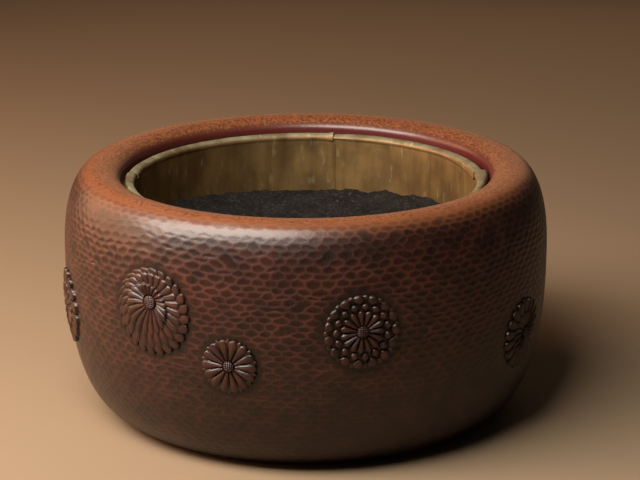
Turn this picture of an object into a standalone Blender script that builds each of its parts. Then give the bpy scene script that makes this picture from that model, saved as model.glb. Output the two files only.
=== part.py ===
"""Round wooden hibachi: a hollowed log with carved chrysanthemum heads, a bottom board let into it,
and a drop-in sheet-brass liner that holds the ash. Metres, +Z up, origin at the middle of the foot."""

from math import atan2
from math import cos
from math import pi
from math import radians
from math import sin
from math import tau

import bmesh
import bpy
from mathutils import Matrix
from mathutils import Vector

# Log body
BODY_RADIUS = 0.303
BODY_HEIGHT = 0.307
BELLY_DROP = 0.1044  # from the lip's crest down to the widest place
FOOT_INSET = 0.084  # from the belly in to the edge that stands on the floor
CREST_INSET = 0.0425  # from the belly in to the highest line of the lip
LIP_INSET = 0.0715  # from the belly in to the mouth
LIP_DROP = 0.016  # from the lip's crest down to the straight band of the mouth
LOWER_FULLNESS = 2.57  # superellipse powers of the three stretches of the outline
UPPER_FULLNESS = 2.32
LIP_FULLNESS = 2.0
LOWER_STEPS = 9
UPPER_STEPS = 6
LIP_STEPS = 4

# Bottom board
SHOULDER_WIDTH = 0.0255  # the step in the log that the board lies on
SHOULDER_HEIGHT = 0.016
PLANK_THICKNESS = 0.020
MIDDLE_PLANK_WIDTH = 0.146
PEG_RADIUS = 0.003
PEG_BITE = 0.010  # how far a peg goes into the shoulder
PEG_AZIMUTHS = (65, 115, 160, 200, 245, 295, 340, 20)  # degrees, clear of the plank joints
DOWEL_RADIUS = 0.003
DOWEL_LENGTH = 0.050
DOWEL_SPACING = 0.120
DOWELS_PER_JOINT = 3
PIN_SIDES = 10

# Liner
RIM_DROP = 0.0182  # from the lip's crest down to the top of the rolled rim
BEAD_RADIUS = 0.0052  # outside of the rolled rim
BEAD_TURN = radians(300)
BEAD_STEPS = 8
SHEET = 0.0008
RIM_CLEARANCE = 0.0058  # between the rolled rim and the mouth's band
LINER_PLAY = 0.0012  # between the liner's wall and the well
HOOP_PLAY = 0.0004  # between the hoop and the roll round it
HOOP_SIDES = 6
LAP_DROP = 0.0156  # from the rolled rim's middle down to where a lapped end steps in
FLANGE_HEIGHT = 0.012  # turned-up edge of the liner's floor
SHEETS = {  # name: first and last steps round the rim, a step being a 72nd of a turn
    "liner_sheet_back_right": (1, 16),
    "liner_sheet_back_left": (16, 35),
    "liner_sheet_front_left": (35, 54),
    "liner_sheet_front_right": (54, 73),
}

# Ash
ASH_DROP = 0.092  # from the lip's crest down to the ash at the liner's wall
ASH_DISH = 0.016  # how much lower the ash is in the middle
ASH_RIPPLE = 0.004
ASH_MOUNDS = 3  # soft high places round the edge
ASH_RINGS = 4

# Carved chrysanthemum heads: azimuth in degrees, height of the middle from the belly line, radius,
# petals in a ring, rings of petals, and how far the boss lies above the middle as a share of the radius
FLOWERS = (
    (194, -0.0583, 0.0470, 15, 2, 0.05),
    (234, -0.0092, 0.0530, 20, 1, 0.18),
    (253, -0.0605, 0.0340, 14, 1, 0.02),
    (282, -0.0175, 0.0445, 15, 3, 0.02),
    (330, -0.0706, 0.0440, 18, 2, 0.05),
    (14, -0.0184, 0.0500, 20, 1, 0.15),
    (52, -0.0644, 0.0360, 14, 1, 0.02),
    (98, -0.0245, 0.0460, 15, 2, 0.04),
    (146, -0.0430, 0.0400, 14, 2, 0.02),
)
FLOWER_RELIEF = 0.0050  # from the ground up to the highest petals
FLOWER_ROOT = 0.0060  # from the ground down into the wood, so that the carving is one with it
FLOWER_DOME = 0.30  # how much lower the petals lie at the flower's edge, as a share of the relief
BOSS_LEVELS = (  # share of the flower's radius and of its relief: the boss's top, its edge, the moat
    (0.00, 1.15),
    (0.14, 0.95),
    (0.18, 0.40),
)
PETAL_LEVELS = (  # share of a petal's length, relief on its crest and beside it: its swell, its tip
    (0.62, 1.00, 0.58),
    (1.00, 0.64, 0.34),
)
TIP_ROUNDING = 0.05  # how far the tips' outline draws in between petals, as a share of the radius

# Fits and fineness
GAP = 0.0003  # between pieces that touch
ROUND_STEPS = 72
WELD = 0.00001
SMOOTH_ANGLE = radians(35)

STEP_ANGLE = tau / ROUND_STEPS
BELLY_HEIGHT = BODY_HEIGHT - BELLY_DROP
FOOT_RADIUS = BODY_RADIUS - FOOT_INSET
CREST_RADIUS = BODY_RADIUS - CREST_INSET
LIP_RADIUS = BODY_RADIUS - LIP_INSET
LINER_RADIUS = LIP_RADIUS - RIM_CLEARANCE - 2 * BEAD_RADIUS
WELL_RADIUS = LINER_RADIUS + SHEET + LINER_PLAY
SHOULDER_RADIUS = WELL_RADIUS - SHOULDER_WIDTH
BEAD_CENTRE = (LINER_RADIUS + BEAD_RADIUS, BODY_HEIGHT - RIM_DROP - BEAD_RADIUS)
LEDGE_HEIGHT = BEAD_CENTRE[1] - BEAD_RADIUS - GAP
PLANK_BOTTOM = SHOULDER_HEIGHT + GAP
PLANK_TOP = PLANK_BOTTOM + PLANK_THICKNESS
LINER_BOTTOM = PLANK_TOP + GAP
LAP_STEP = SHEET + GAP  # how far a sheet's end steps in to pass behind the next sheet
LAP_TOP = BEAD_CENTRE[1] - LAP_DROP
LINING_RADIUS = LINER_RADIUS - LAP_STEP - GAP  # what fits inside the liner's wall


def new_object(mesh_data, name, material=None):
    """Put a bmesh into the scene as one object, smooth where it is round."""
    bmesh.ops.recalc_face_normals(mesh_data, faces=mesh_data.faces)
    mesh = bpy.data.meshes.new(name)
    mesh_data.to_mesh(mesh)
    mesh_data.free()
    mesh.shade_smooth()
    mesh.set_sharp_from_angle(angle=SMOOTH_ANGLE)
    if material:
        mesh.materials.append(material)
    made = bpy.data.objects.new(name, mesh)
    bpy.context.collection.objects.link(made)
    return made


def tool_object(mesh_data, name):
    """A shape that only cuts or joins another one."""
    made = new_object(mesh_data, name)
    made.hide_render = True
    made.display_type = "WIRE"
    return made


def combine(target, tool, operation):
    """Cut a tool out of an object, or join it on."""
    step = target.modifiers.new(tool.name, "BOOLEAN")
    step.solver = "EXACT"
    step.operation = operation
    step.object = tool


def principled(name, colour, roughness, metallic):
    """A plain Principled material."""
    made = bpy.data.materials.new(name)
    made.use_nodes = True
    shader = made.node_tree.nodes["Principled BSDF"]
    shader.inputs["Base Color"].default_value = (*colour, 1)
    shader.inputs["Roughness"].default_value = roughness
    shader.inputs["Metallic"].default_value = metallic
    return made


def quarter(upright_end, level_end, fullness, steps):
    """A superellipse quarter from the end where it runs upright to the end where it runs level."""
    points = []
    for number in range(steps + 1):
        turn = number / steps * pi / 2
        across = max(cos(turn), 0) ** (2 / fullness)
        along = sin(turn) ** (2 / fullness)
        radius = level_end[0] + (upright_end[0] - level_end[0]) * across
        height = upright_end[1] + (level_end[1] - upright_end[1]) * along
        points.append((radius, height))
    return points


def side_radius(height):
    """Radius of the body's outside at a height."""
    if height < BELLY_HEIGHT:
        share = (BELLY_HEIGHT - height) / BELLY_HEIGHT
        inner, power = FOOT_RADIUS, LOWER_FULLNESS
    else:
        share = (height - BELLY_HEIGHT) / (BODY_HEIGHT - BELLY_HEIGHT)
        inner, power = CREST_RADIUS, UPPER_FULLNESS
    share = min(share, 1)
    return inner + (BODY_RADIUS - inner) * (1 - share**power) ** (1 / power)


def swept(outline, first=0, steps=ROUND_STEPS, closed=True):
    """Turn an outline of radius and height about Z, a whole turn or from one step to another."""
    shape = bmesh.new()
    start = first * STEP_ANGLE
    line = [shape.verts.new((r * cos(start), r * sin(start), z)) for r, z in outline]
    ends = zip(line, line[1:] + line[:1]) if closed else zip(line, line[1:])
    edges = [shape.edges.new(pair) for pair in ends]
    whole = steps == ROUND_STEPS
    bmesh.ops.spin(
        shape,
        geom=line + edges,
        axis=(0, 0, 1),
        cent=(0, 0, 0),
        angle=steps * STEP_ANGLE,
        steps=round(steps),
        use_merge=whole,
    )
    bmesh.ops.remove_doubles(shape, verts=shape.verts, dist=WELD)
    if not whole:
        bmesh.ops.holes_fill(shape, edges=shape.edges, sides=0)
    return shape


def rod(radius, length, middle, turn=None):
    """A round pin about Z or, turned, about another axis."""
    shape = bmesh.new()
    place = Matrix.Translation(middle)
    bmesh.ops.create_cone(
        shape,
        cap_ends=True,
        segments=PIN_SIDES,
        radius1=radius,
        radius2=radius,
        depth=length,
        matrix=place @ turn if turn else place,
    )
    return shape


def flower_stations(rings):
    """Share of the radius and relief, on even and odd columns, from a flower's middle to its edge."""
    stations = [(level, level) for level in BOSS_LEVELS]
    moat = BOSS_LEVELS[-1][0]
    length = (1 - moat) / rings
    for ring in range(rings):
        for along, crest, groove in PETAL_LEVELS:
            share = moat + (ring + along) * length
            beside = share - TIP_ROUNDING if along == 1 else share
            columns = ((share, crest), (beside, groove))
            stations.append(columns if ring % 2 == 0 else columns[::-1])
    return stations


def flower(azimuth, above_belly, radius, petals, rings, boss_lift):
    """A chrysanthemum head laid on the body's side, rooted in the wood."""
    stations = flower_stations(rings)
    edge = len(stations) - 1
    underside = -1
    shape = bmesh.new()
    line = [shape.verts.new((number, 0, 0)) for number in range(edge + 1)]
    line += [shape.verts.new((number, 0, underside)) for number in (edge, 0)]
    edges = [shape.edges.new(pair) for pair in zip(line, line[1:])]
    bmesh.ops.spin(
        shape,
        geom=line + edges,
        axis=(0, 0, 1),
        cent=(0, 0, 0),
        angle=tau,
        steps=2 * petals,
        use_merge=True,
    )
    bmesh.ops.remove_doubles(shape, verts=shape.verts, dist=WELD)
    for vertex in shape.verts:
        flat = Vector((vertex.co.x, vertex.co.y))
        column = round(atan2(flat.y, flat.x) / tau * 2 * petals) % 2
        share, level = stations[round(flat.length)][column]
        relief = FLOWER_RELIEF * level * (1 - FLOWER_DOME * share**2)
        if vertex.co.z < underside / 2:
            relief = -FLOWER_ROOT
        flat.normalize()
        lift = boss_lift * (1 - share**2)
        height = BELLY_HEIGHT + above_belly + radius * (share * flat.y + lift)
        turn = radians(azimuth) + radius * share * flat.x / BODY_RADIUS
        reach = side_radius(height) + relief
        vertex.co = (reach * cos(turn), reach * sin(turn), height)
    return shape


def merged(shapes):
    """Several separate shapes as one bmesh."""
    whole = bmesh.new()
    for shape in shapes:
        mesh = bpy.data.meshes.new("piece")
        bmesh.ops.recalc_face_normals(shape, faces=shape.faces)
        shape.to_mesh(mesh)
        shape.free()
        whole.from_mesh(mesh)
        bpy.data.meshes.remove(mesh)
    return whole


def peg_middles(length, bottom):
    """Where the pegs stand, on the middle of the shoulder."""
    reach = (WELL_RADIUS + SHOULDER_RADIUS) / 2
    places = []
    for azimuth in PEG_AZIMUTHS:
        turn = radians(azimuth)
        places.append((reach * cos(turn), reach * sin(turn), bottom + length / 2))
    return places


def dowel_middles():
    """Where the dowels cross the plank joints."""
    places = []
    for side in (-1, 1):
        for number in range(DOWELS_PER_JOINT):
            along = (number - (DOWELS_PER_JOINT - 1) / 2) * DOWEL_SPACING
            across = side * MIDDLE_PLANK_WIDTH / 2
            places.append((across, along, PLANK_BOTTOM + PLANK_THICKNESS / 2))
    return places


def build_log(wood, peg_holes):
    """The hollowed log: turned outline, stepped well, carved flower heads."""
    belly = (BODY_RADIUS, BELLY_HEIGHT)
    crest = (CREST_RADIUS, BODY_HEIGHT)
    lip = (LIP_RADIUS, BODY_HEIGHT - LIP_DROP)
    outline = [(SHOULDER_RADIUS, 0)]
    outline += reversed(quarter(belly, (FOOT_RADIUS, 0), LOWER_FULLNESS, LOWER_STEPS))
    outline += quarter(belly, crest, UPPER_FULLNESS, UPPER_STEPS)[1:]
    outline += reversed(quarter(lip, crest, LIP_FULLNESS, LIP_STEPS)[:-1])
    outline.append((LIP_RADIUS, LEDGE_HEIGHT))
    outline.append((WELL_RADIUS, LEDGE_HEIGHT))
    outline.append((WELL_RADIUS, SHOULDER_HEIGHT))
    outline.append((SHOULDER_RADIUS, SHOULDER_HEIGHT))
    log = new_object(swept(outline), "log_body", wood)
    flowers = tool_object(merged([flower(*place) for place in FLOWERS]), "flower_shapes")
    combine(log, flowers, "UNION")
    combine(log, peg_holes, "DIFFERENCE")


def build_planks(wood, peg_holes, dowel_holes):
    """The bottom board, edge-joined from three planks."""
    edge = MIDDLE_PLANK_WIDTH / 2
    spans = {
        "base_plank_left": (-BODY_RADIUS, -edge - GAP / 2),
        "base_plank_middle": (-edge + GAP / 2, edge - GAP / 2),
        "base_plank_right": (edge + GAP / 2, BODY_RADIUS),
    }
    for name, (left, right) in spans.items():
        shape = bmesh.new()
        bmesh.ops.create_circle(
            shape,
            cap_ends=True,
            segments=ROUND_STEPS,
            radius=WELL_RADIUS - GAP,
            matrix=Matrix.Translation((0, 0, PLANK_BOTTOM)),
        )
        for place, drop_left in ((left, True), (right, False)):
            bmesh.ops.bisect_plane(
                shape,
                geom=shape.verts[:] + shape.edges[:] + shape.faces[:],
                plane_co=(place, 0, 0),
                plane_no=(1, 0, 0),
                clear_inner=drop_left,
                clear_outer=not drop_left,
            )
        raised = bmesh.ops.extrude_face_region(shape, geom=shape.faces[:])["geom"]
        lifted = [item for item in raised if isinstance(item, bmesh.types.BMVert)]
        bmesh.ops.translate(shape, verts=lifted, vec=(0, 0, PLANK_THICKNESS))
        plank = new_object(shape, name, wood)
        combine(plank, peg_holes, "DIFFERENCE")
        combine(plank, dowel_holes, "DIFFERENCE")


def build_pins(bamboo):
    """Pegs that hold the board down and dowels in its joints. Returns the tools for their holes."""
    peg_bottom = SHOULDER_HEIGHT - PEG_BITE
    peg_length = PLANK_TOP - peg_bottom
    along_x = Matrix.Rotation(pi / 2, 4, "Y")
    for number, place in enumerate(peg_middles(peg_length, peg_bottom), 1):
        new_object(rod(PEG_RADIUS, peg_length, place), f"base_peg_{number}", bamboo)
    for number, place in enumerate(dowel_middles(), 1):
        new_object(rod(DOWEL_RADIUS, DOWEL_LENGTH, place, along_x), f"plank_dowel_{number}", bamboo)
    hole_length = peg_length + 2 * PEG_RADIUS
    holes = [
        rod(PEG_RADIUS + GAP, hole_length, place)
        for place in peg_middles(hole_length, peg_bottom - GAP)
    ]
    peg_holes = tool_object(merged(holes), "peg_holes")
    holes = [
        rod(DOWEL_RADIUS + GAP, DOWEL_LENGTH + 2 * GAP, place, along_x)
        for place in dowel_middles()
    ]
    return peg_holes, tool_object(merged(holes), "dowel_holes")


def bead_arc(radius):
    """Points of the rolled rim from the liner's wall over the top and round below."""
    points = []
    for number in range(BEAD_STEPS + 1):
        turn = pi - number / BEAD_STEPS * BEAD_TURN
        points.append((BEAD_CENTRE[0] + radius * cos(turn), BEAD_CENTRE[1] + radius * sin(turn)))
    return points


def build_sheet(name, first, last, brass, lift):
    """One length of the liner's wall with its rolled rim, its end lapped behind the next sheet."""
    outside = LINER_RADIUS + SHEET
    outline = [(LINER_RADIUS, LINER_BOTTOM), (LINER_RADIUS, LAP_TOP)]
    outline += bead_arc(BEAD_RADIUS)
    outline += reversed(bead_arc(BEAD_RADIUS - SHEET))
    outline += [(outside, LAP_TOP), (outside, LINER_BOTTOM)]
    lapped_end = last + 1
    shape = swept(outline, first, lapped_end - first)
    for vertex in shape.verts:
        step = round(atan2(vertex.co.y, vertex.co.x) / STEP_ANGLE)
        lapped = (step - last) % ROUND_STEPS <= lapped_end - last
        if lapped and vertex.co.z < LAP_TOP + WELD:
            reach = Vector((vertex.co.x, vertex.co.y)).length
            vertex.co.x *= (reach - LAP_STEP) / reach
            vertex.co.y *= (reach - LAP_STEP) / reach
    sheet = new_object(shape, name, brass)
    sheet.parent = lift
    sheet.location = -lift.location
    rim_gap = GAP / LINER_RADIUS / STEP_ANGLE
    bottom = LAP_TOP - BEAD_RADIUS
    inside = LINER_RADIUS - BEAD_RADIUS
    block = [(inside, bottom), (LIP_RADIUS, bottom), (LIP_RADIUS, BODY_HEIGHT), (inside, BODY_HEIGHT)]
    notch = tool_object(swept(block, last - rim_gap, 2), f"{name}_notch")
    combine(sheet, notch, "DIFFERENCE")


def build_liner(brass, iron, ash):
    """Floor, four lapped sheets, the hoop in their rolled rim, and the ash, on one lifting frame."""
    lift = bpy.data.objects.new("liner_lift", None)
    lift.location = (0, 0, LINER_BOTTOM)
    bpy.context.collection.objects.link(lift)
    for name, (first, last) in SHEETS.items():
        build_sheet(name, first, last, brass, lift)
    floor_top = LINER_BOTTOM + SHEET
    flange_in = LINING_RADIUS - SHEET
    pan = [
        (0, LINER_BOTTOM),
        (LINING_RADIUS, LINER_BOTTOM),
        (LINING_RADIUS, LINER_BOTTOM + FLANGE_HEIGHT),
        (flange_in, LINER_BOTTOM + FLANGE_HEIGHT),
        (flange_in, floor_top),
        (0, floor_top),
    ]
    floor = new_object(swept(pan, closed=False), "liner_floor", brass)
    hoop_radius = (BEAD_RADIUS - SHEET) * cos(BEAD_TURN / BEAD_STEPS / 2) - HOOP_PLAY
    section = []
    for number in range(HOOP_SIDES):
        turn = number / HOOP_SIDES * tau
        reach = BEAD_CENTRE[0] + hoop_radius * cos(turn)
        section.append((reach, BEAD_CENTRE[1] + hoop_radius * sin(turn)))
    hoop = new_object(swept(section), "rim_hoop", iron)
    ash_bed = build_ash(ash, floor_top + GAP, flange_in - GAP)
    for piece in (floor, hoop, ash_bed):
        piece.parent = lift
        piece.location = -lift.location


def build_ash(ash, bottom, low_radius):
    """The bed of ash: dished in the middle, with soft mounds round the wall."""
    step_height = LINER_BOTTOM + FLANGE_HEIGHT + GAP
    edge_height = BODY_HEIGHT - ASH_DROP
    outline = [(0, bottom), (low_radius, bottom), (low_radius, step_height), (LINING_RADIUS, step_height)]
    for number in range(ASH_RINGS + 1):
        share = 1 - number / ASH_RINGS
        outline.append((share * LINING_RADIUS, edge_height - ASH_DISH * (1 - share**2)))
    shape = swept(outline, closed=False)
    surface_low = edge_height - ASH_DISH - WELD
    for vertex in shape.verts:
        if vertex.co.z > surface_low:
            flat = Vector((vertex.co.x, vertex.co.y))
            share = flat.length / LINING_RADIUS
            turn = atan2(flat.y, flat.x)
            vertex.co.z += ASH_RIPPLE * share**2 * sin(ASH_MOUNDS * turn)
    return new_object(shape, "ash_bed", ash)


def main():
    for old in list(bpy.data.objects):
        bpy.data.objects.remove(old)
    wood = principled("lacquered_keyaki", (0.115, 0.038, 0.024), 0.35, 0)
    plain_wood = principled("bare_cedar", (0.36, 0.22, 0.12), 0.7, 0)
    bamboo = principled("bamboo", (0.55, 0.42, 0.22), 0.6, 0)
    brass = principled("tarnished_brass", (0.24, 0.16, 0.065), 0.45, 0.9)
    iron = principled("iron", (0.12, 0.11, 0.10), 0.6, 0.8)
    ash = principled("dark_ash", (0.045, 0.045, 0.050), 0.95, 0)
    peg_holes, dowel_holes = build_pins(bamboo)
    build_log(wood, peg_holes)
    build_planks(plain_wood, peg_holes, dowel_holes)
    build_liner(brass, iron, ash)


main()
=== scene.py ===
"""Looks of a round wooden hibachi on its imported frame: a gouged and lacquered log with carved
chrysanthemum heads, a tarnished brass liner with a rolled rim, and a bed of ash. Metres, +Z up."""

from bisect import bisect_right
from collections import namedtuple
from itertools import accumulate
from math import atan2
from math import cos
from math import pi
from math import radians
from math import sin
from math import sqrt
from math import tau
from random import Random

import bmesh
import bpy
from mathutils import Matrix
from mathutils import Vector
from mathutils import noise


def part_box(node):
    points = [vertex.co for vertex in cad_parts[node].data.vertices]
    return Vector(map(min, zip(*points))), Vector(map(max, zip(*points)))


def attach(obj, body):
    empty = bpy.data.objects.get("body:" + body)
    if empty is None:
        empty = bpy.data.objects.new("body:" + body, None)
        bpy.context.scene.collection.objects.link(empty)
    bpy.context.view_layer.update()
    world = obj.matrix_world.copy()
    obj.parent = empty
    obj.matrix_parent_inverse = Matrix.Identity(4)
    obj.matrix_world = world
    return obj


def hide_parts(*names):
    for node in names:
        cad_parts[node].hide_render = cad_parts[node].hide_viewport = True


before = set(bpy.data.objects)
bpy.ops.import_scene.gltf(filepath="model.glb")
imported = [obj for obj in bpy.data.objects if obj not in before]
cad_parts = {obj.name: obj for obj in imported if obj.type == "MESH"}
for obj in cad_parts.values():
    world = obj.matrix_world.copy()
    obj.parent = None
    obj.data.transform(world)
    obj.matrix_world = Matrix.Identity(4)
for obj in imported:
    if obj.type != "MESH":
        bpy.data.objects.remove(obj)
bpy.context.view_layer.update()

MM = 0.001
WELD = 0.01 * MM
SHARP_EDGE = radians(60)

# Outline of the log, as in its solid
BODY_RADIUS = 303 * MM
BODY_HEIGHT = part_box("log_body")[1].z
BELLY_HEIGHT = BODY_HEIGHT - 104.4 * MM
FOOT_RADIUS = 219 * MM
CREST_RADIUS = 260.5 * MM
LIP_RADIUS = 231.5 * MM
LIP_DROP = 16 * MM
LOWER_FULLNESS = 2.57
UPPER_FULLNESS = 2.32
LIP_FULLNESS = 2.0
OUTLINE_STEPS = 80
LIP_STEPS = 12
SHOULDER_RADIUS = 191.8 * MM
SHOULDER_HEIGHT = 16 * MM

# Gouge cuts of the outside: each is hollow like a spoon, so its levels are pairs of width and depth
CELLS_ROUND = 112
ROW_HEIGHT = 7.6 * MM
HEX_SHIFT = 1 / 6  # of a row, up and down by turns, that gives the cells six sides
CELL_JITTER = 0.4  # how far a corner strays, as a share of half a cell's width and of a row
FLOW_LENGTH = 110 * MM  # over which the rows of cuts wander up and down
FLOW_REACH = 10 * MM
CALM_ROWS = 5  # at the crest and the foot, over which the wandering dies out
MERGED_SHARE = 0.006  # of the ridges, left out where two cuts ran into one
SMOOTHING = 0.3
SMOOTHING_ROUNDS = 2
CUT_DEPTH = 0.8 * MM
CUT_LEVELS = ((1.3 * MM, 0.32), (0, 0.86))
FLOOR_SHARE = 0.62  # of the last level that the flat of the floor takes up
FLOOR_TILT = 0.03  # how far a cut's floor may lean, as a slope
NET_SEED = 11

# Where the cuts are shallow, where the wood is worn or bare, and where shade is painted on it
WOOD_MARKS = ("depth", "tone", "ridge", "painted_shade", "lip", "bare")
LIP_CUTS = 0.1  # share of the depth that cuts have at the crest
LIP_FADE = (8 * MM, 100 * MM)  # way down the side over which they deepen
FOOT_CUTS = 0.35
FOOT_FADE = (60 * MM, 190 * MM)  # height over which they deepen from the foot
HALO_WIDTH = 8 * MM  # ground round a flower that is cut down smooth
HALO_CUTS = 0.8
RIDGE_DEPTH = 0.75  # share of a cut's depth at which the worn ridge beside it ends
FAINT_WEAR = 0.15  # least wear, on ridges between the shallowest cuts
# Painted shade round the flowers and at the foot, the foot darkest at the floor and clear of it 32 mm up
HALO_SHADE = 0.5
FOOT_SHADE = 0.9
FOOT_SHADE_HEIGHT = 32 * MM
LIP_REACH = 32 * MM  # way down the side that the lip's paler wood goes
RIDGE_REACH = 12 * MM  # and how much further along a ridge
BAND_START = 0.3  # of the drop from the crest to the mouth, where the polished band begins

# Carved chrysanthemum heads, placed as in the log's solid: azimuth, height of the middle from the belly
# line, radius, petals in a ring, pattern, boss and its lift as shares of the radius, swirl of the petals
Flower = namedtuple("Flower", "azimuth above radius petals pattern boss lift swirl")
FLOWERS = (
    Flower(194, -58.3 * MM, 47.0 * MM, 15, "double", 0.15, 0.05, 0),
    Flower(234, -9.2 * MM, 53.0 * MM, 20, "long", 0.15, 0.24, 0.8),
    Flower(253, -60.5 * MM, 34.0 * MM, 14, "broad", 0.19, 0.02, 0),
    Flower(282, -17.5 * MM, 44.5 * MM, 15, "beaded", 0.15, 0.02, 0),
    Flower(330, -70.6 * MM, 44.0 * MM, 18, "double", 0.15, 0.05, 0),
    Flower(14, -18.4 * MM, 50.0 * MM, 20, "long", 0.15, 0.20, 0.8),
    Flower(52, -64.4 * MM, 36.0 * MM, 14, "broad", 0.19, 0.02, 0),
    Flower(98, -24.5 * MM, 46.0 * MM, 15, "double", 0.15, 0.04, 0),
    Flower(146, -43.0 * MM, 40.0 * MM, 14, "double", 0.15, 0.02, 0),
)
FLOWER_RELIEF = 5.0 * MM
FLOWER_DOME = 0.30  # how much lower the petals lie at the edge, as a share of the relief
FLOWER_ROOT = 4.0 * MM
UNDERSIDE = -1  # height of a head's lower face before the head is carved
BOSS_RELIEF = 1.15
BOSS_DOME = 0.5
MOAT_SHARE = 0.04  # width of the groove round the boss, as a share of the flower's radius
MOAT_RELIEF = 0.2
HATCH_PITCH = 2.4 * MM
HATCH_DEPTH = 0.8 * MM
HATCH_START = 0.7  # of the wave across the hatching, where a cut begins
HATCH_SHADE = 0.7
BOSS_RINGS = 18
PETAL_RINGS = 62
PETAL_COLUMNS = 22

# Rings of petals from the lowest to the topmost: phase in petals, inner and outer ends as shares of the
# radius, how much further out the ring ends at the lower left, width in petals, relief, how far the relief
# falls to a petal's sides, the lengths of its rounded ends as shares of its own, and petals as a multiple
Ring = namedtuple("Ring", "phase root tip droop width lift fall root_round tip_round times", defaults=[1])
PATTERNS = {
    "long": (
        Ring(0.0, 0.66, 1.00, 0.00, 0.98, 0.66, 0.6, 0.0, 0.34, 1.2),
        Ring(0.5, 0.34, 0.84, 0.06, 1.00, 0.86, 0.55, 0.0, 0.22, 1.2),
        Ring(0.2, 0.17, 0.56, 0.16, 1.00, 1.12, 0.5, 0.0, 0.20),
    ),
    "broad": (
        Ring(0.5, 0.66, 1.00, 0.00, 0.44, 0.72, 0.7, 0.0, 0.45),
        Ring(0.0, 0.17, 0.97, 0.00, 0.95, 1.05, 0.65, 0.0, 0.24),
    ),
    "beaded": (
        Ring(0.5, 0.86, 1.00, 0.00, 0.46, 0.80, 0.9, 0.5, 0.50),
        Ring(0.0, 0.75, 1.00, 0.00, 0.82, 1.16, 0.9, 0.5, 0.50),
        Ring(0.5, 0.57, 0.77, 0.00, 0.80, 1.08, 0.9, 0.5, 0.50),
        Ring(0.0, 0.17, 0.58, 0.00, 0.90, 1.02, 0.7, 0.0, 0.30),
    ),
    "double": (
        Ring(0.5, 0.40, 1.00, 0.00, 0.97, 0.88, 0.65, 0.0, 0.25),
        Ring(0.0, 0.17, 0.64, 0.00, 0.97, 1.08, 0.65, 0.0, 0.30),
    ),
}
DROOP_TURN = pi / 4
PETAL_ROOT = 0.62  # relief of a petal's root, as a share of its full relief
PETAL_RISE = 0.75  # share of its length over which a petal rises to that
TIP_ROUNDING = 0.4
PETAL_STRIPES = 4  # fine cuts along each petal, from its middle to its sides
STRIPE_DEPTH = 0.035
PETAL_WEAR = 0.5  # most wear, on a petal's crown
WEAR_START = 0.5  # nearness to the crown from which a petal is worn
PETAL_SHADE_END = 0.7  # and up to which it is darkened with painted shade

# Liner, as in its solids: sheets by their first and last steps of five degrees, with how far their rolled
# rim's strip hangs below the roll's middle. At an end the strip may grow inwards, outwards and upwards and
# hang lower, over a length round the rim.
End = namedtuple("End", "inward outward upward hang length")
Sheet = namedtuple("Sheet", "first last strip first_end last_end")
PLAIN_END = End(0, 0, 0, 0, radians(1))
SHEETS = {
    "liner_sheet_back_right": Sheet(
        first=1,
        last=16,
        strip=1.6 * MM,
        first_end=End(1.6 * MM, 0, 0.3 * MM, 6.0 * MM, radians(32)),
        last_end=End(0, 0, -1.2 * MM, -1.0 * MM, radians(8)),
    ),
    "liner_sheet_back_left": Sheet(
        first=16,
        last=35,
        strip=2.4 * MM,
        first_end=End(0.9 * MM, 0, 1.5 * MM, 1.5 * MM, radians(3)),
        last_end=End(2.2 * MM, 0, 0.4 * MM, 0, radians(12)),
    ),
    "liner_sheet_front_left": Sheet(
        first=35,
        last=54,
        strip=2.4 * MM,
        first_end=End(0, 1.6 * MM, 0, 0, radians(8)),
        last_end=PLAIN_END,
    ),
    "liner_sheet_front_right": Sheet(
        first=54,
        last=73,
        strip=3.0 * MM,
        first_end=PLAIN_END,
        last_end=End(0.5 * MM, 4.4 * MM, 1.2 * MM, 1.0 * MM, radians(14)),
    ),
}
SHEET_STEP = radians(5)
COLUMNS_PER_STEP = 5
SHEET = 0.8 * MM
GAP = 0.3 * MM
START_SLACK = 0.0003  # radians, so that rounding never reads the start of a turn as its end
BEAD_RADIUS = 5.2 * MM
BEAD_TURN = radians(300)
BEAD_STEPS = 28
LINER_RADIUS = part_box("liner_floor")[1].x + SHEET + 2 * GAP
LINER_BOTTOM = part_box("liner_floor")[0].z
WELL_RADIUS = LINER_RADIUS + SHEET + 1.2 * MM
BEAD_CENTRE = Vector((LINER_RADIUS + BEAD_RADIUS, BODY_HEIGHT - 18.2 * MM - BEAD_RADIUS))
LEDGE_HEIGHT = BEAD_CENTRE.y - BEAD_RADIUS - GAP
STRIP_BOTTOM = BEAD_CENTRE.y - 15.6 * MM
WALL_ROWS = 14
STRIP_ROWS = 12
STRIP_STEP = 0.9 * MM  # how far the strip stands in from the wall below it
STRIP_BEND = 0.6 * MM
LAP_ROOT = 0.2  # steps round that a lapped end starts inside its own sheet
LAP_RUN = 1.2  # steps round that it is long
LAP_COLUMNS = 10
LAP_SHORT = 4  # rows below the roll that it doesn't reach

# Shape of the rolled rim and dents of the wall; places across the roll are shares of its radius
RIM_SQUARENESS = 3.0
RIM_SLOPE = 0.35  # of the rim's top, down towards the hearth
RIM_INNER = (-0.6, 0.3)
RIM_OUTER = (-0.3, 0.6)
RIM_TOP = (0.2, 0.8)
RIM_DENTS = 0.4  # share of the wall's dents that the roll shows
RIM_WAVES = 15  # in a radian, as the next counts of waves and dents are
RIM_WAVE_HEIGHT = 0.8 * MM
WRINKLES = 40
WRINKLE_SHARE = 0.5
DENTS = 5
DENT_DEPTH = 0.8 * MM
SMALL_DENTS = 4  # in the width of a large one
SMALL_DENT_DEPTH = 0.25 * MM

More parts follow.
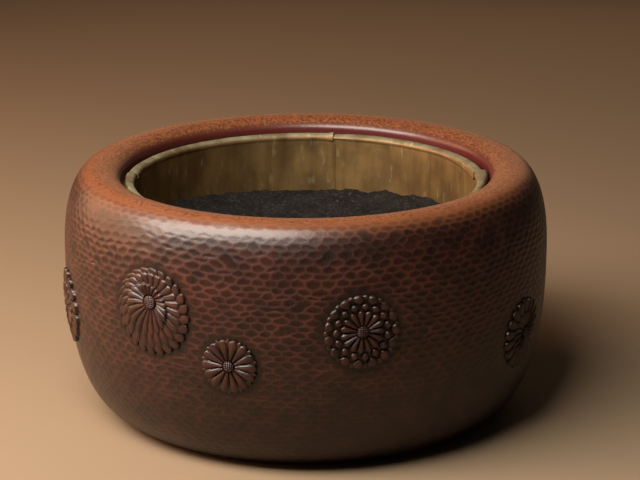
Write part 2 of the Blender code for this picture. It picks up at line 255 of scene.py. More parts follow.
# Ash, as in its solid, with lumps and crumbs on it
ASH_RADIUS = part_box("ash_bed")[1].x
ASH_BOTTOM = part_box("ash_bed")[0].z
ASH_FOOT_RADIUS = ASH_RADIUS - 2 * SHEET
ASH_EDGE = BODY_HEIGHT - 92 * MM
ASH_DISH = 16 * MM
ASH_RIPPLE = 4 * MM
ASH_MOUNDS = 3
ASH_RINGS = 90
ASH_COLUMNS = 320
LUMP_SIZE = 24 * MM
LUMP_HEIGHT = 2.2 * MM
LUMP_LAYERS = (1, 2, 4)  # how fast finer lumps flatten, how much finer each layer is, and layers
EDGE_LUMPS = 1.5 * MM  # added to the lumps' height beside the wall
EDGE_START = 0.75
CRUMB_SIZE = 6 * MM
CRUMB_HEIGHT = 2.4 * MM

# Sockets of a colour Mix node that go by number
UNDER = 6
OVER = 7
MIXED = 2

# Studio: each light by the way to it, the way its length runs, distance and sizes in metres, and watts
Light = namedtuple("Light", "towards along distance length width power colour")
LIGHTS = {
    "key_light": Light((-0.48, -0.37, 0.79), (0.72, -0.34, 0.29), 1.9, 2.0, 0.8, 106, "#fff3e8"),
    "side_light": Light((-0.92, 0.16, 0.36), (0, 1, 0), 2.6, 2.8, 1.5, 66, "#ffb888"),
    "back_light": Light((0.15, 0.93, 0.34), (1, 0, 0), 3.0, 2.4, 1.4, 5, "#ffc896"),
}
AIR_STRENGTH = 0.03
FLOOR_SIZE = 8
FLOOR_DROP = 0.2 * MM  # below the log's foot, so that the two faces don't mix

# Camera, from a fit of the outline to the photograph
CAMERA_PLACE = Vector((0, -7.9958, 3.101)) * BODY_RADIUS
CAMERA_PITCH = radians(16.884)
CAMERA_YAW = radians(0.419)
CAMERA_ROLL = radians(-0.209)
CAMERA_LENS = 112.5  # on a sensor 36 wide, in Blender's millimetres


# Shapes


def fade(value, start, end):
    """Smooth step from 0 at start to 1 at end."""
    share = min(max((value - start) / (end - start), 0), 1)
    return share * share * (3 - 2 * share)


def raised(least, share):
    """A share from 0 to 1 brought into the range from least to 1."""
    return least + (1 - least) * share


def polar(radius, angle, height):
    """A place by its radius and angle round Z and its height."""
    return radius * cos(angle), radius * sin(angle), height


def quarter(upright_end, level_end, fullness, steps):
    """A superellipse quarter from the end where it runs upright to the end where it runs level."""
    points = []
    for number in range(steps + 1):
        turn = number / steps * pi / 2
        across = max(cos(turn), 0) ** (2 / fullness)
        along = sin(turn) ** (2 / fullness)
        radius = level_end[0] + (upright_end[0] - level_end[0]) * across
        height = upright_end[1] + (level_end[1] - upright_end[1]) * along
        points.append(Vector((radius, height)))
    return points


def side_outline():
    """The log's side from the lip's crest out and down to the foot."""
    belly = (BODY_RADIUS, BELLY_HEIGHT)
    upper = quarter(belly, (CREST_RADIUS, BODY_HEIGHT), UPPER_FULLNESS, OUTLINE_STEPS)
    lower = quarter(belly, (FOOT_RADIUS, 0), LOWER_FULLNESS, OUTLINE_STEPS)
    return upper[::-1] + lower[1:]


SIDE = side_outline()
DROPS = list(accumulate(((b - a).length for a, b in zip(SIDE, SIDE[1:])), initial=0))
SIDE_LENGTH = DROPS[-1]


def side_point(drop):
    """Radius and height of the side at an arc length below the crest."""
    place = min(max(bisect_right(DROPS, drop) - 1, 0), len(SIDE) - 2)
    share = (drop - DROPS[place]) / (DROPS[place + 1] - DROPS[place])
    return SIDE[place].lerp(SIDE[place + 1], share)


def side_at(drop):
    """A place on the side and the direction out of it."""
    along = side_point(drop + MM) - side_point(drop - MM)
    return side_point(drop), Vector((-along.y, along.x)).normalized()


def side_radius(height):
    """Radius of the log's outside at a height."""
    if height < BELLY_HEIGHT:
        share = (BELLY_HEIGHT - height) / BELLY_HEIGHT
        inner, power = FOOT_RADIUS, LOWER_FULLNESS
    else:
        share = (height - BELLY_HEIGHT) / (BODY_HEIGHT - BELLY_HEIGHT)
        inner, power = CREST_RADIUS, UPPER_FULLNESS
    return inner + (BODY_RADIUS - inner) * max(1 - share**power, 0) ** (1 / power)


def flat_net(columns, rows, marks=()):
    """A net of squares with its corners at whole numbers, x counting columns and y counting rows."""
    net = bmesh.new()
    for name in marks:
        net.verts.layers.float.new(name)
    place = Matrix.Translation((columns / 2, rows / 2, 0)) @ Matrix.Diagonal((columns, rows, 1, 1))
    bmesh.ops.create_grid(net, x_segments=columns, y_segments=rows, size=0.5, matrix=place)
    return net


def turned(outline, columns, turn=tau, marks=()):
    """An outline of radius and height turned about Z."""
    shape = flat_net(columns, len(outline) - 1, marks)
    for vertex in shape.verts:
        radius, height = outline[round(vertex.co.y)]
        vertex.co = polar(radius, vertex.co.x / columns * turn, height)
    bmesh.ops.remove_doubles(shape, verts=shape.verts, dist=WELD)
    return shape


def marks_of(shape, *names):
    """The layers that hold a shape's marks."""
    return [shape.verts.layers.float[name] for name in names]


def piece(shape, name, body, finish):
    """Make a bmesh a named piece that rides on a body of the frame."""
    bmesh.ops.recalc_face_normals(shape, faces=shape.faces)
    mesh = bpy.data.meshes.new(name)
    shape.to_mesh(mesh)
    shape.free()
    mesh.shade_smooth()
    mesh.set_sharp_from_angle(angle=SHARP_EDGE)
    mesh.materials.append(finish)
    made = bpy.data.objects.new(name, mesh)
    bpy.context.collection.objects.link(made)
    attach(made, body)
    return made


# Log


def outside_flowers(angle, height):
    """Distance from a place on the side to the edge of the nearest flower, negative inside it."""
    gaps = []
    for flower in FLOWERS:
        turn = (angle - radians(flower.azimuth) + pi) % tau - pi
        away = Vector((turn * BODY_RADIUS, height - BELLY_HEIGHT - flower.above)).length
        gaps.append(away - flower.radius)
    return min(gaps)


def brick_net(columns, rows, pitch):
    """Cells two columns wide on a plain cylinder, in rows that are half a cell apart."""
    net = flat_net(columns, rows, WOOD_MARKS + ("column", "row"))
    in_column, in_row = marks_of(net, "column", "row")
    for vertex in net.verts:
        vertex[in_column], vertex[in_row] = round(vertex.co.x), round(vertex.co.y)
        vertex.co = polar(BODY_RADIUS, vertex[in_column] / columns * tau, -vertex[in_row] * pitch)
    bmesh.ops.remove_doubles(net, verts=net.verts, dist=WELD)
    walls = []
    for edge in net.edges:
        upper, lower = sorted(edge.verts, key=lambda vertex: vertex[in_row])
        if upper[in_row] < lower[in_row] and (upper[in_column] + upper[in_row]) % 2:
            walls.append(edge)
    bmesh.ops.dissolve_edges(net, edges=walls)
    return net


def gouge_net(columns):
    """Cells of the gouged wall on a plain cylinder: six-sided and uneven, in wandering rows, a few run
    together."""
    rows = round(SIDE_LENGTH / ROW_HEIGHT)
    pitch = SIDE_LENGTH / rows
    net = brick_net(columns, rows, pitch)
    in_column, in_row = marks_of(net, "column", "row")
    chance = Random(NET_SEED)
    noise.seed_set(NET_SEED)
    for vertex in net.verts:
        column, row = vertex[in_column], vertex[in_row]
        if 0 < row < rows:
            row += HEX_SHIFT if (column + row) % 2 == 0 else -HEX_SHIFT
            row += CELL_JITTER * chance.uniform(-1, 1)
            column += CELL_JITTER * chance.uniform(-1, 1)
            calm = fade(min(row, rows - row), 0, CALM_ROWS)
            flow = noise.noise_vector(vertex.co / FLOW_LENGTH) * FLOW_REACH * calm
            turn = column / columns * tau + flow.x / BODY_RADIUS
            vertex.co = polar(BODY_RADIUS, turn, -row * pitch - flow.z)
    left_out, merged = [], set()
    for edge in net.edges:
        if not edge.is_boundary and chance.random() < MERGED_SHARE and merged.isdisjoint(edge.link_faces):
            left_out.append(edge)
            merged.update(edge.link_faces)
    bmesh.ops.dissolve_edges(net, edges=left_out)
    inner = [vertex for vertex in net.verts if not vertex.is_boundary]
    every_way = {"use_axis_x": True, "use_axis_y": True, "use_axis_z": True}
    for _ in range(SMOOTHING_ROUNDS):
        bmesh.ops.smooth_vert(net, verts=inner, factor=SMOOTHING, **every_way)
    return net


def cut_cells(net):
    """Sink every cell of the net below its ridges, with a tone and a lean of its own."""
    depth, tone = marks_of(net, "depth", "tone")
    chance = Random(NET_SEED + 1)
    cells = net.faces[:]
    for width, share in CUT_LEVELS:
        bmesh.ops.inset_individual(net, faces=cells, thickness=width, use_even_offset=True)
        for cell in cells:
            for vertex in cell.verts:
                vertex[depth] = share
    for cell in cells:
        middle = cell.calc_center_median()
        cell_tone = chance.random()
        lean_round = chance.uniform(-FLOOR_TILT, FLOOR_TILT) / CUT_DEPTH
        lean_down = chance.uniform(-FLOOR_TILT, FLOOR_TILT) / CUT_DEPTH
        for vertex in cell.verts:
            away = vertex.co - middle
            vertex.co = middle + away * FLOOR_SHARE
            across = away.x * -middle.y / BODY_RADIUS + away.y * middle.x / BODY_RADIUS
            vertex[depth] += FLOOR_SHARE * (across * lean_round + away.z * lean_down)
            vertex[tone] = cell_tone
    for middle in bmesh.ops.poke(net, faces=cells)["verts"]:
        middle[depth] = 1
        middle[tone] = middle.link_edges[0].other_vert(middle)[tone]


def wrap_net(net):
    """Lay the net on the log's side: fainter at the lip and the foot, cut down smooth round the flowers."""
    depth, ridge, painted_shade, lip = marks_of(net, "depth", "ridge", "painted_shade", "lip")
    for vertex in net.verts:
        angle = atan2(vertex.co.y, vertex.co.x)
        drop = -vertex.co.z
        place, out = side_at(drop)
        halo = 1 - fade(outside_flowers(angle, place.y), 0, HALO_WIDTH)
        foot = raised(FOOT_CUTS, fade(place.y, *FOOT_FADE))
        faint = raised(LIP_CUTS, fade(drop, *LIP_FADE) * foot)
        share = max(vertex[depth], HALO_CUTS * halo)
        place -= out * CUT_DEPTH * faint * share
        crest = max(1 - share / RIDGE_DEPTH, 0)
        vertex[ridge] = crest * raised(FAINT_WEAR, faint)
        # Painted shade: darker round the flowers and towards the foot, darkest at the floor
        vertex[painted_shade] = HALO_SHADE * halo + FOOT_SHADE * (1 - fade(place.y, 0, FOOT_SHADE_HEIGHT))
        vertex[lip] = 1 - fade(drop, 0, LIP_REACH + RIDGE_REACH * crest)
        vertex.co = polar(place.x, angle, place.y)


def build_log(finish):
    """The log's skin: gouged outside, smooth lip, polished band, ledge, well and foot."""
    columns = 2 * CELLS_ROUND
    skin = gouge_net(columns)
    cut_cells(skin)
    wrap_net(skin)
    mouth = (LIP_RADIUS, BODY_HEIGHT - LIP_DROP)
    inside = quarter(mouth, (CREST_RADIUS, BODY_HEIGHT), LIP_FULLNESS, LIP_STEPS)[::-1]
    inside += [
        (LIP_RADIUS, LEDGE_HEIGHT),
        (WELL_RADIUS, LEDGE_HEIGHT),
        (WELL_RADIUS, SHOULDER_HEIGHT),
        (SHOULDER_RADIUS, SHOULDER_HEIGHT),
        (SHOULDER_RADIUS, 0),
        (FOOT_RADIUS, 0),
    ]
    lining = bpy.data.meshes.new("log_lining")
    turned(inside, columns).to_mesh(lining)
    gouged = len(skin.verts)
    skin.from_mesh(lining)
    lip, bare = marks_of(skin, "lip", "bare")
    skin.verts.ensure_lookup_table()
    for vertex in skin.verts[gouged:]:
        if vertex.co.to_2d().length < WELL_RADIUS + GAP:
            vertex[bare] = 1
        else:
            vertex[lip] = 1 + fade(BODY_HEIGHT - vertex.co.z, BAND_START * LIP_DROP, LIP_DROP)
    bmesh.ops.remove_doubles(skin, verts=skin.verts, dist=WELD)
    made = piece(skin, "log_skin", "log", finish)
    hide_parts("log_body")


# Flowers


def ring_relief(ring, angle, turn, share):
    """Relief of a ring of petals and how near its petal's crown that is, or nothing off the petals."""
    tip = ring.tip - ring.droop * sin(angle + DROOP_TURN)
    along = (share - ring.root) / (tip - ring.root)
    if not 0 <= along <= 1:
        return None
    run = max((along - 1) / ring.tip_round + 1, 0)
    if ring.root_round:
        run = max(run, 1 - along / ring.root_round)
    outline = sqrt(max(1 - run**2, 0))
    across = 2 * abs((turn * ring.times + ring.phase + 0.5) % 1 - 0.5)
    if across >= ring.width * outline:
        return None
    side = across / (ring.width * outline)
    crown = sqrt(1 - side**2) * outline**TIP_ROUNDING
    rise = raised(PETAL_ROOT, fade(along, 0, PETAL_RISE))
    stripes = 0 if ring.root_round else STRIPE_DEPTH * cos(side * pi * PETAL_STRIPES)
    return ring.lift * rise * (1 - ring.fall * (1 - crown)) + stripes, crown


def boss_relief(across, up, share):
    """The hatched button in a flower's middle, at a share of its radius."""
    dome = BOSS_RELIEF * sqrt(1 - BOSS_DOME * share**2)
    wave = max(abs(cos(pi * across / HATCH_PITCH)), abs(cos(pi * up / HATCH_PITCH)))
    cut = fade(wave, HATCH_START, 1)
    return dome - HATCH_DEPTH / FLOWER_RELIEF * cut, 1 - HATCH_SHADE * cut


def flower_relief(flower, angle, share):
    """Relief of a flower and nearness to a crown, or nothing between the tips of its petals."""
    if share <= flower.boss:
        reach = share * flower.radius
        return boss_relief(reach * cos(angle), reach * sin(angle), share / flower.boss)
    if share < flower.boss + MOAT_SHARE:
        return MOAT_RELIEF, 0
    turn = (angle + flower.swirl * share * (1 - share)) / tau * flower.petals
    found = [ring_relief(ring, angle, turn, share) for ring in PATTERNS[flower.pattern]]
    return max((level for level in found if level), default=None)


def build_flower(number, flower, finish):
    """A carved chrysanthemum head on the log's side."""
    boss = [flower.boss * step / BOSS_RINGS for step in range(BOSS_RINGS + 1)]
    rest = [flower.boss + (1 - flower.boss) * step / PETAL_RINGS for step in range(1, PETAL_RINGS + 1)]
    points = [(share, 0) for share in boss + rest] + [(1, UNDERSIDE), (0, UNDERSIDE)]
    shape = turned(points, PETAL_COLUMNS * flower.petals, marks=WOOD_MARKS)
    ridge, painted_shade, tone = marks_of(shape, "ridge", "painted_shade", "tone")
    chance = Random(number)
    tones = [chance.random() for _ in range(flower.petals + 1)]
    for vertex in shape.verts:
        flat = Vector((vertex.co.x, vertex.co.y))
        share = flat.length
        angle = atan2(flat.y, flat.x)
        level = flower_relief(flower, angle, share) if vertex.co.z > UNDERSIDE / 2 else None
        relief = -FLOWER_ROOT
        if level:
            relief = FLOWER_RELIEF * level[0] * (1 - FLOWER_DOME * share**2)
            vertex[ridge] = PETAL_WEAR * fade(level[1], WEAR_START, 1)
            # Painted shade on the petals' sides, in the groove round the boss and in its hatching, fading out
            # towards each crown
            vertex[painted_shade] = 1 - fade(level[1], 0, PETAL_SHADE_END)
        vertex[tone] = tones[int((angle / tau + 0.5) * flower.petals)]
        height = BELLY_HEIGHT + flower.above + flower.radius * (flat.y + flower.lift * (1 - share**2))
        turn = radians(flower.azimuth) + flower.radius * flat.x / BODY_RADIUS
        vertex.co = polar(side_radius(height) + relief, turn, height)
    piece(shape, f"flower_head_{number}", "log", finish)


# Liner


def sheet_rows():
    """Heights of a sheet's rows from its foot to the roll's middle, closer together in the strip's reach."""
    wall = [LINER_BOTTOM + (STRIP_BOTTOM - LINER_BOTTOM) * row / WALL_ROWS for row in range(WALL_ROWS)]
    strip = [STRIP_BOTTOM + (BEAD_CENTRE.y - STRIP_BOTTOM) * row / STRIP_ROWS for row in range(STRIP_ROWS)]
    return wall + strip


def bead_arc(radius):
    """Points of the rolled rim from the liner's wall over the top and round below, squarer inwards."""
    points = []
    for number in range(BEAD_STEPS + 1):
        turn = pi - number / BEAD_STEPS * BEAD_TURN
        power = RIM_SQUARENESS if turn > pi / 2 else 2
        reach = radius / (abs(cos(turn)) ** power + abs(sin(turn)) ** power) ** (1 / power)
        points.append(BEAD_CENTRE + reach * Vector((cos(turn), sin(turn))))
    return points


def bent_sheet(rows, rim, columns, turn, marks=()):
    """A sheet of the liner's radius with a rim on its rows, turned about Z and closed at both ends."""
    outline = [(LINER_RADIUS, height) for height in rows]
    outline += rim
    outline += [(LINER_RADIUS + SHEET, height) for height in rows[::-1]]
    shape = turned(outline + outline[:1], columns, turn, marks)
    bmesh.ops.holes_fill(shape, edges=shape.edges, sides=0)
    return shape


def round_way(vertex):
    """Angle from the start of a turned sheet."""
    return (atan2(vertex.co.y, vertex.co.x) + START_SLACK) % tau


def dent(angle, height):
    """How far the sheets are dented outwards at a place on the wall."""
    spot = Vector((cos(angle), sin(angle), height / LINER_RADIUS)) * DENTS
    depth = noise.noise(spot) * DENT_DEPTH + noise.noise(spot * SMALL_DENTS) * SMALL_DENT_DEPTH
    return depth * fade(height, LINER_BOTTOM, ASH_EDGE)


def work_rim(shape, sheet, run):
    """Bend a sheet's wall and rolled rim as they are: dented, sloped and wavy, with uneven ends."""
    roll, top = marks_of(shape, "roll", "top")
    for vertex in shape.verts:
        along = round_way(vertex)
        angle = along + sheet.first * SHEET_STEP
        reach, height = vertex.co.to_2d().length, vertex.co.z
        from_bead = Vector((reach, height)) - BEAD_CENTRE
        across = from_bead.x / BEAD_RADIUS
        near_first = 1 - fade(along, 0, sheet.first_end.length)
        near_last = fade(along, run - sheet.last_end.length, run)
        ends = zip(sheet.first_end, sheet.last_end)
        near = End(*(near_first * first + near_last * last for first, last in ends))
        low_edge = -sheet.strip - near.hang
        rolled = fade(from_bead.y, low_edge - STRIP_BEND, low_edge + STRIP_BEND)
        strip = rolled * (1 - fade(across, *RIM_INNER))
        vertex[roll] = strip
        vertex[top] = fade(from_bead.y / BEAD_RADIUS, *RIM_TOP)
        wrinkle = 1 + WRINKLE_SHARE * noise.noise(Vector((angle, height / LINER_RADIUS, 0)) * WRINKLES)
        waves = max(noise.noise(Vector((cos(angle), sin(angle), 0)) * RIM_WAVES), 0) * RIM_WAVE_HEIGHT
        reach += dent(angle, height) * raised(RIM_DENTS, 1 - rolled)
        reach -= strip * (STRIP_STEP + near.inward * wrinkle)
        reach += near.outward * fade(across, *RIM_OUTER)
        lift = near.upward * wrinkle + waves + RIM_SLOPE * from_bead.x
        height += max(from_bead.y, 0) / BEAD_RADIUS * lift
        vertex.co = polar(reach, angle, height)


def lapped_end(sheet, rows):
    """The end of a sheet that laps inside the next one, as a mesh."""
    tongue = bent_sheet(rows[:-LAP_SHORT], [], LAP_COLUMNS, LAP_RUN * SHEET_STEP)
    root = LAP_ROOT * SHEET_STEP
    for vertex in tongue.verts:
        past_end = round_way(vertex) - root
        angle = past_end + sheet.last * SHEET_STEP
        reach = vertex.co.to_2d().length + dent(angle, vertex.co.z)
        reach -= (SHEET + GAP) * fade(past_end, -root, 0)
        vertex.co = polar(reach, angle, vertex.co.z)
    mesh = bpy.data.meshes.new("lapped_end")
    tongue.to_mesh(mesh)
    tongue.free()
    return mesh


def build_sheet(name, sheet, finish):
    """One length of the liner's wall with its rolled rim, and the end that laps inside the next sheet."""
    steps = sheet.last - sheet.first
    run = steps * SHEET_STEP - GAP / LINER_RADIUS
    rows = sheet_rows()
    rim = bead_arc(BEAD_RADIUS) + bead_arc(BEAD_RADIUS - SHEET)[::-1]
    shape = bent_sheet(rows, rim, steps * COLUMNS_PER_STEP, run, ("roll", "top"))
    work_rim(shape, sheet, run)
    shape.from_mesh(lapped_end(sheet, rows))
    made = piece(shape, name.replace("liner_sheet", "brass_sheet"), "liner", finish)
    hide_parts(name)


# Ash


def build_ash(finish):
    """The bed of ash: dished, lumpy at the wall, with crumbs all over."""
    outline = [(0, ASH_BOTTOM), (ASH_FOOT_RADIUS, ASH_BOTTOM)]
    for number in range(ASH_RINGS + 1):
        share = 1 - number / ASH_RINGS
        outline.append((share * ASH_RADIUS, ASH_EDGE - ASH_DISH * (1 - share**2)))
    shape = turned(outline, ASH_COLUMNS)
    for vertex in shape.verts:
        if vertex.co.z > ASH_BOTTOM + ASH_DISH:
            flat = Vector((vertex.co.x, vertex.co.y, 0))
            share = flat.length / ASH_RADIUS
            lump_height = LUMP_HEIGHT + EDGE_LUMPS * fade(share, EDGE_START, 1)
            lumps = noise.fractal(flat / LUMP_SIZE, *LUMP_LAYERS) * lump_height
            crumbs = max(noise.noise(flat / CRUMB_SIZE), 0) * CRUMB_HEIGHT
            mound = ASH_RIPPLE * share**2 * sin(ASH_MOUNDS * atan2(flat.y, flat.x))
            vertex.co.z += mound + lumps + crumbs
    made = piece(shape, "ash_surface", "liner", finish)
    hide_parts("ash_bed")


# Finishes


def linear(code):
    """An sRGB hex colour as linear red, green, blue and alpha."""
    parts = [int(code[place : place + 2], 16) / 255 for place in (1, 3, 5)]
    return [part / 12.92 if part <= 0.04045 else ((part + 0.055) / 1.055) ** 2.4 for part in parts] + [1]


def add(tree, kind, inputs=(), **settings):
    """Add a node with its settings, and set or link its inputs."""
    node = tree.nodes.new(kind)
    for name, value in settings.items():
        setattr(node, name, value)
    for socket, value in dict(inputs).items():
        if isinstance(value, bpy.types.NodeSocket):
            tree.links.new(value, node.inputs[socket])
        else:
            node.inputs[socket].default_value = value
    return node


def new_finish(name, **sockets):
    """A material with its Principled shader's constant sockets set."""
    made = bpy.data.materials.new(name)
    made.use_nodes = True
    shader = made.node_tree.nodes["Principled BSDF"]
    for socket, value in sockets.items():
        shader.inputs[socket.replace("_", " ")].default_value = value
    return made, made.node_tree, shader


def coat(tree, shader, ground, marks, coats):
    """Colour a finish: coats over a ground, each laid on where its mark rises from start to end."""
    skin = linear(ground)
    for mark, start, end, most, colour in coats:
        inputs = {"Value": marks[mark], "From Min": start, "From Max": end, "To Max": most}
        share = add(tree, "ShaderNodeMapRange", inputs).outputs[0]
        inputs = {"Factor": share, UNDER: skin, OVER: linear(colour)}
        skin = add(tree, "ShaderNodeMix", inputs, data_type="RGBA").outputs[MIXED]
    tree.links.new(skin, shader.inputs["Base Color"])


def gouged_lacquered_keyaki():
    """Zelkova wood cut with a gouge, then wiped with red-brown lacquer and rubbed by hands: the cuts stay
    dark and a little glossy, the ridges are worn to a dull red, the lip shows its grain and the band is
    polished."""
    made, tree, shader = new_finish("gouged_lacquered_keyaki", IOR=1.5, Specular_IOR_Level=0.42)
    place = add(tree, "ShaderNodeTexCoord").outputs["Object"]
    marks = {}
    for name in WOOD_MARKS:
        marks[name] = add(tree, "ShaderNodeAttribute", attribute_name=name).outputs["Fac"]
    fibres = add(tree, "ShaderNodeMapping", {"Vector": place, "Scale": (1, 1, 0.06)}).outputs[0]
    for name, vector, size in (
        ("blotch", place, 70 * MM),
        ("cloud", place, 22 * MM),
        ("fleck", place, 3.2 * MM),
        ("grain", fibres, 2.0 * MM),
    ):
        inputs = {"Vector": vector, "Scale": 1 / size, "Detail": 4}
        marks[name] = add(tree, "ShaderNodeTexNoise", inputs).outputs[0]
    inputs = {"Value": marks["cloud"], "From Min": 0.35, "From Max": 0.65, "To Min": 0.5, "To Max": 1.1}
    inputs = {0: marks["ridge"], 1: add(tree, "ShaderNodeMapRange", inputs).outputs[0]}
    marks["worn"] = add(tree, "ShaderNodeMath", inputs, operation="MULTIPLY").outputs[0]
    inputs = {0: marks["fleck"], 1: marks["lip"]}
    marks["stipple"] = add(tree, "ShaderNodeMath", inputs, operation="MULTIPLY").outputs[0]
    coats = (
        ("tone", 0.0, 1.0, 0.7, "#1f100a"),
        ("blotch", 0.45, 0.70, 0.5, "#29120c"),
        ("worn", 0.15, 1.0, 0.85, "#4e2721"),
        ("lip", 0.0, 0.9, 0.95, "#73452a"),
        ("cloud", 0.45, 0.75, 0.25, "#4b2a1a"),
        ("grain", 0.45, 0.75, 0.3, "#46210f"),
        ("stipple", 0.42, 0.60, 0.8, "#3c2014"),
        ("lip", 1.1, 1.9, 1.0, "#461a18"),
        # Painted shade: darker at the foot, round the flowers and down the sides of the petals
        ("painted_shade", 0.0, 1.0, 0.65, "#140c09"),
        ("bare", 0.3, 0.9, 1.0, "#77573a"),
    )
    coat(tree, shader, "#140c09", marks, coats)
    inputs = {"Value": marks["ridge"], "To Min": 0.34, "To Max": 0.48}
    tree.links.new(add(tree, "ShaderNodeMapRange", inputs).outputs[0], shader.inputs["Roughness"])
    inputs = {"Height": marks["cloud"], "Strength": 0.4, "Distance": 1.5 * MM}
    uneven = add(tree, "ShaderNodeBump", inputs).outputs[0]
    inputs = {"Height": marks["fleck"], "Strength": 0.3, "Distance": 0.3 * MM, "Normal": uneven}
    tree.links.new(add(tree, "ShaderNodeBump", inputs).outputs[0], shader.inputs["Normal"])
    return made


def tarnished_brass_sheet():
    """Rolled brass sheet that heat and damp have browned: olive with runs down the wall, and on the rolled
    rim a pale top with verdigris and a coppery underside."""
    made, tree, shader = new_finish("tarnished_brass_sheet")
    place = add(tree, "ShaderNodeTexCoord").outputs["Object"]
    marks = {}
    for name in ("roll", "top"):
        marks[name] = add(tree, "ShaderNodeAttribute", attribute_name=name).outputs["Fac"]
    runs = add(tree, "ShaderNodeMapping", {"Vector": place, "Scale": (1, 1, 0.08)}).outputs[0]
    drips = add(tree, "ShaderNodeMapping", {"Vector": place, "Scale": (1, 1, 0.3)}).outputs[0]
    for name, vector, size in (
        ("run", runs, 22 * MM),
        ("cloud", place, 45 * MM),
        ("spot", drips, 8 * MM),
        ("stain", drips, 40 * MM),
    ):
        inputs = {"Vector": vector, "Scale": 1 / size, "Detail": 5}
        marks[name] = add(tree, "ShaderNodeTexNoise", inputs).outputs[0]
    inputs = {0: marks["cloud"], 1: marks["top"]}
    marks["rim_patch"] = add(tree, "ShaderNodeMath", inputs, operation="MULTIPLY").outputs[0]
    coats = (
        ("run", 0.40, 0.80, 0.4, "#98814f"),
        ("cloud", 0.42, 0.62, 0.7, "#614d31"),
        ("roll", 0.2, 0.7, 1.0, "#937650"),
        ("top", 0.2, 0.9, 1.0, "#5f5439"),
        ("rim_patch", 0.38, 0.62, 1.0, "#7d795e"),
        ("stain", 0.52, 0.68, 0.6, "#523c22"),
        ("spot", 0.60, 0.74, 0.55, "#a9a078"),
    )
    coat(tree, shader, "#80673f", marks, coats)
    inputs = {"Value": marks["run"], "From Min": 0.3, "From Max": 0.7, "To Min": 0.46, "To Max": 0.62}
    dull = add(tree, "ShaderNodeMapRange", inputs).outputs[0]
    rougher_top = 0.15
    inputs = {0: marks["top"], 1: rougher_top, 2: dull}
    rough = add(tree, "ShaderNodeMath", inputs, operation="MULTIPLY_ADD").outputs[0]
    tree.links.new(rough, shader.inputs["Roughness"])
    inputs = {"Value": marks["top"], "To Min": 0.8, "To Max": 0.5}
    tree.links.new(add(tree, "ShaderNodeMapRange", inputs).outputs[0], shader.inputs["Metallic"])
    inputs = {"Height": marks["spot"], "Strength": 0.3, "Distance": 0.4 * MM}
    tree.links.new(add(tree, "ShaderNodeBump", inputs).outputs[0], shader.inputs["Normal"])
    return made


def sifted_charcoal_ash():
    """Ash with charcoal dust on it, sifted flat: matt and nearly black, paler where a clean crumb lies on
    top."""
    made, tree, shader = new_finish("sifted_charcoal_ash", Roughness=0.95, Specular_IOR_Level=0.1)
    place = add(tree, "ShaderNodeTexCoord").outputs["Object"]
    marks = {}
    for name, size in (("cloud", 40 * MM), ("crumb", 5 * MM), ("fleck", 2.2 * MM)):
        inputs = {"Vector": place, "Scale": 1 / size, "Detail": 5}
        marks[name] = add(tree, "ShaderNodeTexNoise", inputs).outputs[0]
    coats = (
        ("cloud", 0.40, 0.70, 1.0, "#191716"),
        ("crumb", 0.52, 0.72, 0.8, "#262321"),
        ("fleck", 0.62, 0.72, 0.7, "#5d574f"),
    )
    coat(tree, shader, "#0f0e0d", marks, coats)
    inputs = {"Height": marks["fleck"], "Strength": 0.9, "Distance": 1.0 * MM}
    tree.links.new(add(tree, "ShaderNodeBump", inputs).outputs[0], shader.inputs["Normal"])
    return made


def planed_cedar_board():
    """Softwood planed by hand and left bare in the dark under the log: pale brown, with straight grain that
    runs from front to back and darker winter wood between."""
    made, tree, shader = new_finish("planed_cedar_board", Roughness=0.7)
    place = add(tree, "ShaderNodeTexCoord").outputs["Object"]
    along = add(tree, "ShaderNodeMapping", {"Vector": place, "Scale": (1, 0.04, 0.4)}).outputs[0]
    marks = {}
    for name, size in (("winter_wood", 7 * MM), ("grain", 1.6 * MM)):
        inputs = {"Vector": along, "Scale": 1 / size, "Detail": 3}
        marks[name] = add(tree, "ShaderNodeTexNoise", inputs).outputs[0]
    coats = (("winter_wood", 0.45, 0.62, 1.0, "#6d4d31"), ("grain", 0.45, 0.75, 1.0, "#a3825c"))
    coat(tree, shader, "#8d6c49", marks, coats)
    inputs = {"Height": marks["grain"], "Strength": 0.3, "Distance": 0.3 * MM}
    tree.links.new(add(tree, "ShaderNodeBump", inputs).outputs[0], shader.inputs["Normal"])
    return made


def whittled_bamboo():
    """Bamboo split and whittled to pegs: straw yellow, with the dark specks of its fibres in the cut ends."""
    made, tree, shader = new_finish("whittled_bamboo", Roughness=0.5)
    place = add(tree, "ShaderNodeTexCoord").outputs["Object"]
    inputs = {"Vector": place, "Scale": 1 / (1.2 * MM), "Detail": 2}
    marks = {"fibre": add(tree, "ShaderNodeTexNoise", inputs).outputs[0]}
    coat(tree, shader, "#c2a66c", marks, [("fibre", 0.5, 0.7, 1.0, "#7d6236")])
    return made


def black_iron_rod():
    """Iron rod drawn and left with its black scale, rusting a little inside the rolled rim."""
    made, tree, shader = new_finish("black_iron_rod", Metallic=0.7, Roughness=0.6)
    place = add(tree, "ShaderNodeTexCoord").outputs["Object"]
    inputs = {"Vector": place, "Scale": 1 / (8 * MM), "Detail": 5}
    marks = {"rust": add(tree, "ShaderNodeTexNoise", inputs).outputs[0]}
    coat(tree, shader, "#3a3836", marks, [("rust", 0.5, 0.7, 1.0, "#6b4028")])
    return made


# Studio


def build_floor():
    """A plain pale floor."""
    shape = bmesh.new()
    below = Matrix.Translation((0, 0, -FLOOR_DROP))
    bmesh.ops.create_grid(shape, x_segments=1, y_segments=1, size=FLOOR_SIZE, matrix=below)
    mesh = bpy.data.meshes.new("studio_floor")
    shape.to_mesh(mesh)
    shape.free()
    made, _, _ = new_finish("pale_studio_floor", Base_Color=linear("#7a6851"), Roughness=0.8)
    mesh.materials.append(made)
    floor = bpy.data.objects.new("studio_floor", mesh)
    bpy.context.collection.objects.link(floor)


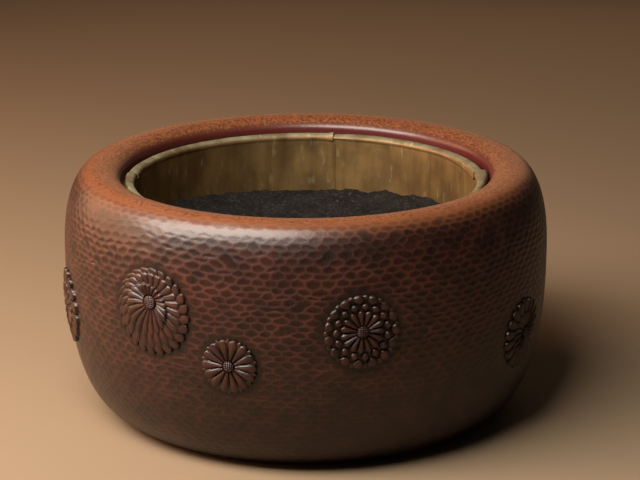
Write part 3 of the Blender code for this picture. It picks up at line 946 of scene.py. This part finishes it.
def build_lights():
    """Soft lights from the upper left, from the left and, weakly, from behind, and faint light all round."""
    for name, light in LIGHTS.items():
        lamp = bpy.data.lights.new(name, "AREA")
        lamp.shape = "RECTANGLE"
        lamp.size = light.length
        lamp.size_y = light.width
        lamp.energy = light.power
        lamp.color = linear(light.colour)[:3]
        made = bpy.data.objects.new(name, lamp)
        out = Vector(light.towards).normalized()
        across = out.cross(Vector(light.along)).normalized()
        turn = Matrix((across.cross(out), across, out)).transposed().to_4x4()
        made.matrix_world = Matrix.Translation(out * light.distance) @ turn
        bpy.context.collection.objects.link(made)
    world = bpy.data.worlds.new("studio_air")
    world.use_nodes = True
    air = world.node_tree.nodes["Background"].inputs
    air["Color"].default_value = linear("#fff4e6")
    air["Strength"].default_value = AIR_STRENGTH
    bpy.context.scene.world = world


def build_camera():
    """The photograph's viewpoint."""
    level = cos(CAMERA_PITCH)
    ahead = Vector((sin(CAMERA_YAW) * level, cos(CAMERA_YAW) * level, -sin(CAMERA_PITCH)))
    right = Vector((cos(CAMERA_YAW), -sin(CAMERA_YAW), 0))
    up = right.cross(ahead)
    rolled_right = right * cos(CAMERA_ROLL) + up * sin(CAMERA_ROLL)
    rolled_up = up * cos(CAMERA_ROLL) - right * sin(CAMERA_ROLL)
    lens = bpy.data.cameras.new("photo_view")
    lens.lens = CAMERA_LENS
    camera = bpy.data.objects.new("photo_view", lens)
    turn = Matrix((rolled_right, rolled_up, -ahead)).transposed().to_4x4()
    camera.matrix_world = Matrix.Translation(CAMERA_PLACE) @ turn
    bpy.context.collection.objects.link(camera)
    bpy.context.scene.camera = camera


def main():
    """Build the studio and the new pieces, and finish the nodes that stay as they are."""
    bpy.context.scene.view_settings.view_transform = "Standard"
    keyaki = gouged_lacquered_keyaki()
    brass = tarnished_brass_sheet()
    bamboo = whittled_bamboo()
    build_camera()
    build_floor()
    build_lights()
    build_log(keyaki)
    for number, flower in enumerate(FLOWERS, 1):
        build_flower(number, flower, keyaki)
    for name, sheet in SHEETS.items():
        build_sheet(name, sheet, brass)
    build_ash(sifted_charcoal_ash())
    finishes = {
        "base_plank": planed_cedar_board(),
        "base_peg": bamboo,
        "plank_dowel": bamboo,
        "rim_hoop": black_iron_rod(),
        "liner_floor": brass,
    }
    for name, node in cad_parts.items():
        for start, finish in finishes.items():
            if name.startswith(start):
                node.data.materials.clear()
                node.data.materials.append(finish)


main()
